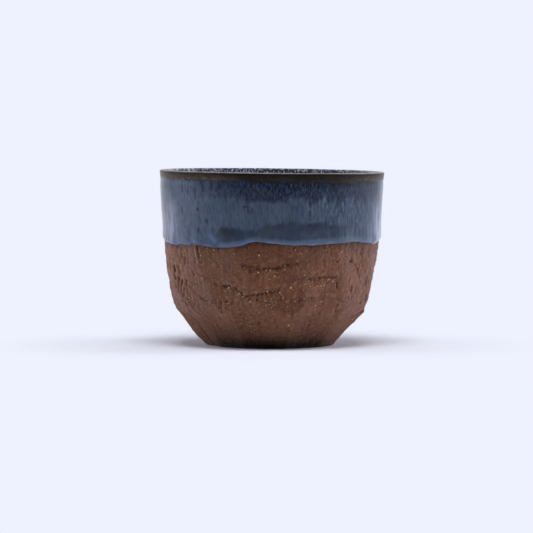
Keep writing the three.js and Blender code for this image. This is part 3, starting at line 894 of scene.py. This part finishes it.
# Marks that colour the coat, each a share from 0 to 1. Some are painted light: shade over the facets' tops,
# reflections at the sides and a paler rim on the right. What lies between two levels is eased at both, and
# the levels waver with the ragged and uneven lumps.
def bandMarks(turn, level, above, below, rise, step):
    around = (1, turn.size)
    ragged, uneven = [lumps(band[name], level.shape, rise, step) for name in ("ragged", "uneven")]
    fade, streakLow = roundTable(turn, streakFade), roundTable(turn, streakEnd)
    thin = ease(level + fade * (0.3 * ragged + 0.12 * uneven), streakLow - 0.4 * fade, streakLow + 0.6 * fade)
    thin *= roundTable(turn, streakDepth)

    skirtTop = roundTable(turn, skirtHeight) + lumps(band["skirtWaver"], around)
    hasSkirt = ease(skirtTop, *band["skirtFrom"])
    skirt = (1 - ease(above + 0.15 * uneven - skirtTop, *band["skirtEnd"])) * hasSkirt
    # painted shade over the tops of the knife's facets, which lean down under the coat
    facetShadeHigh = roundTable(turn, facetShadeTop) + lumps(band["facetShadeWaver"], around)
    pool = ease(facetShadeHigh - level + 0.3 * ragged + 0.15 * uneven, *band["facetShadeEnd"])
    pool *= ease(above - skirtTop, *band["facetShadeFrom"])
    pool *= (0.6 + 0.4 * ease(level - facetShadeHigh, *band["poolFull"])) * roundTable(turn, facetShadeDepth)
    pool *= np.clip(0.85 + 0.12 * uneven, 0, 1)

    patchy = ease(lumps(band["patchy"], around, rise, step), -1.2, 1.2)
    least, more = band["rimHeight"]
    rim = bell(above, least + more * patchy) * (0.35 + 0.65 * patchy) * roundTable(turn, rimDepth)
    rim += 0.08 * hasSkirt * bell(above - skirtTop, band["skirtLine"])
    run = roundTable(turn, lipRun)
    spots = [(strength, width, [(at, high), (at, low)]) for strength, width, at, high, low in darkSpots]
    streaky = roundTable(turn, streakShare) * (1 - 0.5 * pool) * (1 - 0.6 * skirt)
    streaky *= ease(above, *band["streakFrom"]) * (0.75 + 0.45 * ease(level, *band["streakRise"]))
    return {
        "pool": pool,
        "thin": thin,
        "streaky": streaky,
        "skirt": skirt,
        "rim": np.maximum(rim, strongest(turn, level, blueRuns)),
        "run": strongest(turn, level, darkRuns + spots),
        "lipFade": 1 - ease(below + (0.2 * ragged + 0.15 * uneven) * run, -0.1 * run, 1.2 * run),
        # the right half, where the rolled edge is painted paler as a highlight
        "right": ease(np.sin(turn), -0.2, 0.2) * np.ones_like(level),
        # painted reflections of the bright room
        "paintedReflection": strongest(turn, level, paintedReflections) * np.clip(0.93 + 0.32 * ragged + 0.12 * uneven, 0.2, 1.4),
    }


# Above the edge the coat's section swells quickly to a rolled bead, keeps its thickness and thins to the lip
def glazeBand():
    turn = roundTurns(band["columns"])
    step = 2 * np.pi * lipOuter / band["columns"]
    edge = glazeEdge(turn) + lumps(band["ripple"], turn.shape, 1, step)
    share = np.linspace(0, 1, band["rows"])[:, None]
    share = share - 0.03 * np.sin(np.pi * np.clip(share / 0.15, 0, 1))  # rows lie closer at the rolled edge
    level = edge + (bandTop - edge) * share
    rise = (bandTop - edge.mean()) / band["rows"]
    above, below = level - edge, bandTop - level

    seat = blur(clayRadius(turn, level), band["softness"] / rise, band["softness"] / step)
    roll = np.clip(above / band["beadHeight"], 0, 1)
    body = band["lipCoat"] + (band["coat"] - band["lipCoat"]) * ease(below, 0, band["thinning"])
    thick = np.sqrt(1 - (1 - roll) ** 2) * (body + band["bead"] * (1 - roll))
    sag = lumps(band["sag"], level.shape, rise, step)
    sag = sag * ease(below, 0, band["sagBelow"]) * ease(above, 0, band["sagAbove"])
    outer = place(seat + seatGap + thick + sag + fuller(turn, level) * np.sqrt(roll), turn, level)
    # the section closes behind, inside the clay
    backTop = place(seat[-1:] - band["backDepth"], turn, level[-1:])
    backLow = place(seat[:1] - band["backDepth"], turn, level[:1] + seatGap)
    grid = np.vstack([backLow, outer, backTop])
    fields = bandMarks(turn, level, above, below, rise, step)
    marks = {name: np.vstack([field[:1], field, field[-1:]]) for name, field in fields.items()}
    return buildPiece("dipped_glaze", grid, None, marks)


# Clouded blue with mottles and upright streaks, then flecks where it is thin, then the marks of the coat,
# with painted shade over the facets' tops, painted reflections at the sides and a painted highlight on the
# right of the rolled edge
def bandMaterial():
    material, tree, shader = newMaterial("dipped blue glaze")
    streak = noise(tree, 1500, 330, 2.5, 0.6)
    fleck = noise(tree, 2300, 620, 2.0, 0.6)
    cloud = noise(tree, 130, 60, 3.0)
    mottle = noise(tree, 620, 300, 2.0)
    thin, streaky = mark(tree, "thin"), mark(tree, "streaky")
    # blue of the rolled edge, painted paler on the right as a highlight along it
    rimBlueHighlitRight = blend(tree, mark(tree, "right"), shade(100, 121, 168), shade(140, 150, 178))
    ground = blend(tree, spread(tree, cloud, 0.35, 0.65), shade(63, 77, 96), shade(69, 82, 101))
    colour = paint(tree, ground, (
        (spread(tree, mottle, 0.35, 0.5, 0.3, 0.0), shade(88, 99, 122)),
        (spread(tree, mottle, 0.5, 0.65, 0.0, 0.3), shade(52, 62, 80)),
        (times(tree, streaky, spread(tree, streak, 0.5, 0.64, 0.0, 0.9)), shade(42, 54, 79)),
        (times(tree, streaky, spread(tree, streak, 0.32, 0.46, 0.6, 0.0)), shade(101, 120, 149)),
        (thin, shade(34, 45, 64)),
        (times(tree, thin, spread(tree, fleck, 0.52, 0.6, 0.0, 0.9)), shade(14, 18, 29)),
        (times(tree, thin, spread(tree, fleck, 0.36, 0.46, 0.6, 0.0)), shade(68, 84, 110)),
        # painted shade over the facets' tops
        (marked(tree, "pool", 0.93), shade(24, 36, 48)),
        (marked(tree, "skirt", 0.7), shade(93, 109, 131)),
        # painted reflections and a painted glint
        (marked(tree, "paintedReflection", 0.8), shade(158, 164, 187)),
        (marked(tree, "rim", 0.95), rimBlueHighlitRight),
        (marked(tree, "run", 0.85), shade(27, 29, 36)),
        (marked(tree, "lipFade", 1.0), shade(38, 33, 30)),
    ))
    setInputs(tree, shader, {
        "Base Color": colour,
        "Roughness": 0.16,
        "Specular IOR Level": 0.2,
        "Normal": bump(tree, streak, 0.00003, 0.5),
    })
    return material


dress(glazeBand(), bandMaterial(), "outer_glaze_band")


# White specks on dark blue, as the glaze lies inside the bowl
def speckled(tree):
    speck = noise(tree, 1500, 1100, 3.0, 0.65)
    cloud = noise(tree, 200, 120, 3.0)
    ground = blend(tree, spread(tree, cloud, 0.3, 0.7), shade(58, 68, 90), shade(84, 95, 118))
    return paint(tree, ground, (
        (spread(tree, speck, 0.36, 0.47, 0.9, 0.0), shade(20, 25, 38)),
        (spread(tree, speck, 0.51, 0.63, 0.0, 0.9), shade(222, 228, 238)),
    ))


# Lip. The size of its lumps is in columns.
lip = {
    "columns": 480,
    "round": 0.6,  # rounding of the two edges
    "cornerSteps": 9,
    "flatSteps": 5,
    "lap": 0.6,  # how far the coat runs on under the band and the lining
    "lapGap": 0.1,  # how far it keeps off the clay there
    "tuck": 0.05,  # how far it tucks in under the band's top
    "proud": 0.02,  # how far it stands over the lining
    "depth": 0.9,  # how far inside the clay its back lies
    "lapDepth": 0.4,  # and at its outer foot
    "backGap": 0.3,  # from its back up to the edges' rounding
    "waver": (0.03, 41, 1, 14),
    "waverFrom": 0.5,  # height above the band, where that starts
    "flare": [(-90, -0.05), (0, 0.15), (90, 0.5), (180, 0.15)],  # how far its edge stands out, by turn
    "speckled": 0.4,  # distance from the inner face, where the speckled glaze starts to give way
    "brown": 1.3,  # and where it is brown
    "brownWaver": (0.25, 42, 1, 2),
    "crestHighlight": (0.1, 0.3),  # depth below the top, where the painted highlight on the edge ends
    "crestWaver": (0.2, 43, 1, 2),
    "underFrom": (0.3, 0.5),  # where the dark below that line starts, and where it ends
    "underTo": (0.9, 1.9),
    "outside": (1.0, 1.6),  # distance from the outer face, where both end
    "paleRight": (0.45, 0.95),  # sine of the turn, over which it gets paler
    "paleLeft": (0.2, 0.6),
}


# The coat's section goes up the outer face, over the lip and down the inner face, and closes inside the clay
def lipHood():
    turn = roundTurns(lip["columns"])
    quarter = np.linspace(0, np.pi / 2, lip["cornerSteps"])
    edge, off, depth = lip["round"], lip["lapGap"], lip["depth"]
    spring = mugHeight - edge
    bandLap, liningLap, back = bandTop - lip["lap"], liningTop - lip["lap"], spring - lip["backGap"]
    wallLow = np.interp(bandLap, thrownLevel, thrownRadius) + off
    wallMeet = np.interp(bandTop, thrownLevel, thrownRadius) + seatGap + band["lipCoat"]
    outerMiddle, innerMiddle = lipOuter - edge, lipInner + edge
    outerCorner = np.column_stack([outerMiddle + edge * np.cos(quarter), spring + edge * np.sin(quarter)])
    innerCorner = np.column_stack([innerMiddle - edge * np.sin(quarter), spring + edge * np.cos(quarter)])
    flat = np.linspace(outerMiddle, innerMiddle, lip["flatSteps"] + 2)[1:-1]
    section = np.vstack([
        [(wallLow, bandLap), (wallMeet - lip["tuck"], bandTop - lip["tuck"]), (wallMeet, bandTop + off)],
        outerCorner,
        np.column_stack([flat, np.full(lip["flatSteps"], mugHeight)]),
        innerCorner,
        [(lipInner - lip["proud"], liningTop + off), (lipInner + off, liningLap)],
        [(lipInner + depth, liningLap), (lipInner + depth, back)],
        [(lipOuter - depth, back), (wallLow - lip["lapDepth"], bandLap)],
    ])
    radius, level = section[:, :1], section[:, 1:]
    # the outer face goes from the band's thickness to the flare of the edge
    hang = fuller(turn, bandTop)
    push = hang + (roundTable(turn, lip["flare"]) - hang) * ease(level, bandTop, spring)
    radius = radius + push * np.clip((radius - innerMiddle) / (outerMiddle - innerMiddle), 0, 1)
    waver = lumps(lip["waver"], turn.shape) * ease(level, bandTop + lip["waverFrom"], mugHeight)
    grid = place(radius - 0.3 * waver, turn, level - np.abs(waver))

    speckle = radius + lumps(lip["brownWaver"], radius.shape)
    outside = 1 - ease(lipOuter - radius, *lip["outside"])
    fall = mugHeight - level
    # a painted highlight along the top of the outer edge
    crestHighlight = (1 - ease(fall, *lip["crestHighlight"])) * outside * (0.75 + lumps(lip["crestWaver"], turn.shape))
    under = ease(fall, *lip["underFrom"]) * (1 - ease(fall, *lip["underTo"])) * outside * np.ones_like(turn)
    sideways = np.sin(turn)
    # paler in blotches towards the two sides
    paleSides = np.maximum(ease(sideways, *lip["paleRight"]), ease(-sideways, *lip["paleLeft"]))
    paleSides = paleSides * np.ones_like(level)
    inner = 1 - ease(speckle, lipInner + lip["speckled"], lipInner + lip["brown"])
    return buildPiece("lip_coat", grid, None, {"inner": inner, "crestHighlight": crestHighlight, "under": under, "paleSides": paleSides})


# Dark brown with lighter specks, paler in blotches at the two sides, speckled inside, and a painted highlight
# along the top edge over a dark band
def lipMaterial():
    material, tree, shader = newMaterial("brown lip glaze")
    speck = noise(tree, 1300, 1300, 4.0, 0.65)
    cloud = noise(tree, 170, 300, 2.0)
    blotch = spread(tree, noise(tree, 700, 700, 3.0, 0.65), 0.38, 0.65, 0.3, 0.9)
    ground = blend(tree, spread(tree, cloud, 0.3, 0.7), shade(28, 23, 17), shade(45, 37, 28))
    colour = paint(tree, ground, (
        (spread(tree, speck, 0.52, 0.7, 0.0, 0.6), shade(84, 66, 50)),
        (times(tree, mark(tree, "paleSides"), blotch), shade(106, 91, 80)),
        (mark(tree, "inner"), speckled(tree)),
        (marked(tree, "under", 0.9), shade(18, 15, 13)),
        # painted highlight along the top edge
        (marked(tree, "crestHighlight", 0.56), shade(204, 193, 185)),
    ))
    setInputs(tree, shader, {
        "Base Color": colour,
        "Roughness": 0.3,
        "Specular IOR Level": 0.1,
        "Normal": bump(tree, speck, 0.00003, 0.4),
    })
    return material


dress(lipHood(), lipMaterial(), "lip_glaze")


# Lining
lining = {
    "columns": 480,
    "rows": 120,
    "backEvery": 8,  # rows of the face for one of its back
    "softness": 2.0,  # rounding of the bowl's curve
    "ridge": 0.07,  # height of the thrower's spiral
    "ridgeStep": 5.0,  # from one turn of the spiral to the next
    "ridgeLow": (2, 10),  # heights above the floor, where the spiral dies out
    "ridgeHigh": (1, 6),  # depths below the top, where it does too
    "thickness": 0.5,
    "floorThickness": 0.3,
    "melting": (3.0, 26.0),  # depths below the top, over which the specks melt into runs
    "pooling": (16.0, 0.5),  # heights above the floor, over which the glaze gets thick and dark
}


# The bowl's face turned about the axis, with a spiral ridge that dies out at the floor and the top
def liningCoat():
    turn = roundTurns(lining["columns"])
    radius, level = liningProfile(lining["rows"], lining["softness"])
    thick, floorThick, every = lining["thickness"], lining["floorThickness"], lining["backEvery"]
    spiral = np.sin(2 * np.pi * level / lining["ridgeStep"] + turn)
    dying = ease(level - liningFloor, *lining["ridgeLow"]) * ease(liningTop - level, *lining["ridgeHigh"])
    face = place((radius - lining["ridge"] * spiral * dying)[:-1], turn, level[:-1])
    back = place((radius[::every] + thick)[1:-1], turn, (level[::every] - floorThick)[1:-1])[::-1]
    top = place(radius[:1] + thick, turn, level[:1])
    grid = np.vstack([back, top, face])
    poles = [(0, 0, liningFloor - floorThick), (0, 0, level[-1, 0])]
    return buildPiece("bowl_lining", grid, poles, {"depth": liningTop - grid[..., 2]})


# Specks that melt into runs below the lip, and thick dark glaze at the floor
def liningMaterial():
    material, tree, shader = newMaterial("speckled lining glaze")
    runs = noise(tree, 850, 110, 3.0, 0.6)
    melted = blend(tree, spread(tree, runs, 0.38, 0.62), shade(100, 116, 146), shade(42, 54, 82))
    depth = mark(tree, "depth")
    pooling = [liningTop - liningFloor - height for height in lining["pooling"]]
    colour = paint(tree, speckled(tree), (
        (spread(tree, depth, *lining["melting"], 0.0, 0.8), melted),
        (spread(tree, depth, *pooling, 0.0, 0.75), shade(34, 46, 76)),
    ))
    wavy = bump(tree, noise(tree, 500, 300), 0.00004, 0.4)
    setInputs(tree, shader, {"Base Color": colour, "Roughness": 0.2, "Normal": wavy})
    return material


dress(liningCoat(), liningMaterial(), "inner_glaze_lining")


# Stage, light and camera
stage = {
    "paper": (238, 241, 254),  # display colour of the floor and of what lies beyond it
    "across": (-60, -8, -2, -0.8, -0.3, -0.1, 0.1, 0.3, 0.8, 2, 8, 60),  # m, lines of the floor's grid
    "along": (-0.62, -0.3, -0.1, 0.1, 0.3, 0.8, 2, 8, 60),  # it ends just below the picture
    "plain": (0.04, 0.12),  # m from the mug, over which the floor runs into the background
    "behind": (0.0, 0.6),  # m behind the mug, over which a gloss sees background too
    "brightWay": (-0.8, 0.3),  # y of a direction, from where on the room is bright
    "brightHeight": (0.25, 0.65),  # z of a direction, up to where it is
    "overhead": 0.12,  # brightness higher up
    "dim": 0.08,  # brightness of the room on the camera's side
}


# A flat floor on a grid whose lines lie further apart away from the mug
def floorSheet():
    x, y = np.meshgrid(stage["across"], stage["along"])
    points = np.stack([x, y, np.zeros_like(x)], axis=-1).reshape(-1, 3)
    faces = gridFaces(*x.shape)[0][:-1, :-1].reshape(-1, 4)
    mesh = bpy.data.meshes.new("floor")
    mesh.from_pydata(points, [], faces.tolist())
    floor = bpy.data.objects.new("floor", mesh)
    bpy.context.scene.collection.objects.link(floor)
    return floor


# Near the mug the floor is matt and takes its shadow. Far off, and behind it for a gloss, it is background.
def floorMaterial():
    material, tree, shader = newMaterial("pale floor")
    point, paper = objectPoint(tree), shade(*stage["paper"])
    away = addNode(tree, "ShaderNodeVectorMath", {0: point}, operation="LENGTH").outputs["Value"]
    depth = addNode(tree, "ShaderNodeSeparateXYZ", {"Vector": point}).outputs["Y"]
    seen, glossy = seenRays(tree)
    seen = combine(tree, "MAXIMUM", seen, times(tree, glossy, spread(tree, depth, *stage["behind"])))
    share = times(tree, spread(tree, away, *stage["plain"]), seen)
    setInputs(tree, shader, {"Base Color": paper, "Roughness": 0.95, "Specular IOR Level": 0.0})
    glow = addNode(tree, "ShaderNodeEmission", {"Color": paper, "Strength": 1.0}).outputs[0]
    mixed = addNode(tree, "ShaderNodeMixShader", {0: share, 1: shader.outputs[0], 2: glow}).outputs[0]
    setInputs(tree, tree.nodes["Material Output"], {"Surface": mixed})
    return material


# The room is bright behind the mug and dim on the camera's side. The camera itself sees plain background.
def room():
    world = bpy.data.worlds.new("room")
    bpy.context.scene.world = world
    world.use_nodes = True
    tree = world.node_tree
    way = addNode(tree, "ShaderNodeTexCoord", {}).outputs["Generated"]
    parts = addNode(tree, "ShaderNodeSeparateXYZ", {"Vector": way}).outputs
    behind = spread(tree, parts["Y"], *stage["brightWay"])
    low = spread(tree, parts["Z"], *stage["brightHeight"], 1.0, stage["overhead"])
    bright = combine(tree, "MAXIMUM", times(tree, behind, low), stage["dim"])
    strength = combine(tree, "MAXIMUM", bright, seenRays(tree)[0])
    setInputs(tree, tree.nodes["Background"], {"Color": shade(*stage["paper"]), "Strength": strength})


# Lamps: place and target in m, width and depth in m, watts
lamps = {
    "top": ((0.0, -0.38, 1.1), (0.0, 0.0, 0.0), (0.6, 0.6), 8.2),
    "left": ((-0.85, 0.1, 0.38), (0.0, 0.0, 0.03), (0.5, 0.5), 2.65),
    "right": ((0.85, 0.1, 0.38), (0.0, 0.0, 0.03), (0.5, 0.5), 3.9),
}


# Turns an object at a place so that its -Z looks at the target, and puts it in the scene
def aim(thing, where, target):
    thing.location = where
    thing.rotation_euler = (Vector(target) - Vector(where)).to_track_quat("-Z", "Y").to_euler()
    bpy.context.scene.collection.objects.link(thing)


def softbox(name, where, target, size, power):
    lamp = bpy.data.lights.new(name, "AREA")
    lamp.shape = "RECTANGLE"
    lamp.size, lamp.size_y = size
    lamp.energy = power
    box = bpy.data.objects.new(name, lamp)
    box.visible_camera = False
    aim(box, where, target)


camera = {
    "place": (-0.0019, -1.300, 0.0978),  # m
    "target": (-0.0019, 0.0, 0.03075),
    "lens": 222.8,  # mm
    "sensor": 36.0,  # mm wide
    "farthest": 200.0,  # m
}


def setCamera():
    lens = bpy.data.cameras.new("camera")
    lens.lens = camera["lens"]
    lens.sensor_width = camera["sensor"]
    lens.clip_end = camera["farthest"]
    eye = bpy.data.objects.new("camera", lens)
    aim(eye, camera["place"], camera["target"])
    bpy.context.scene.camera = eye


floorSheet().data.materials.append(floorMaterial())
room()
for lampName, settings in lamps.items():
    softbox(lampName, *settings)
setCamera()
bpy.context.scene.view_settings.view_transform = "Standard"
print("stage, lamps and camera set")
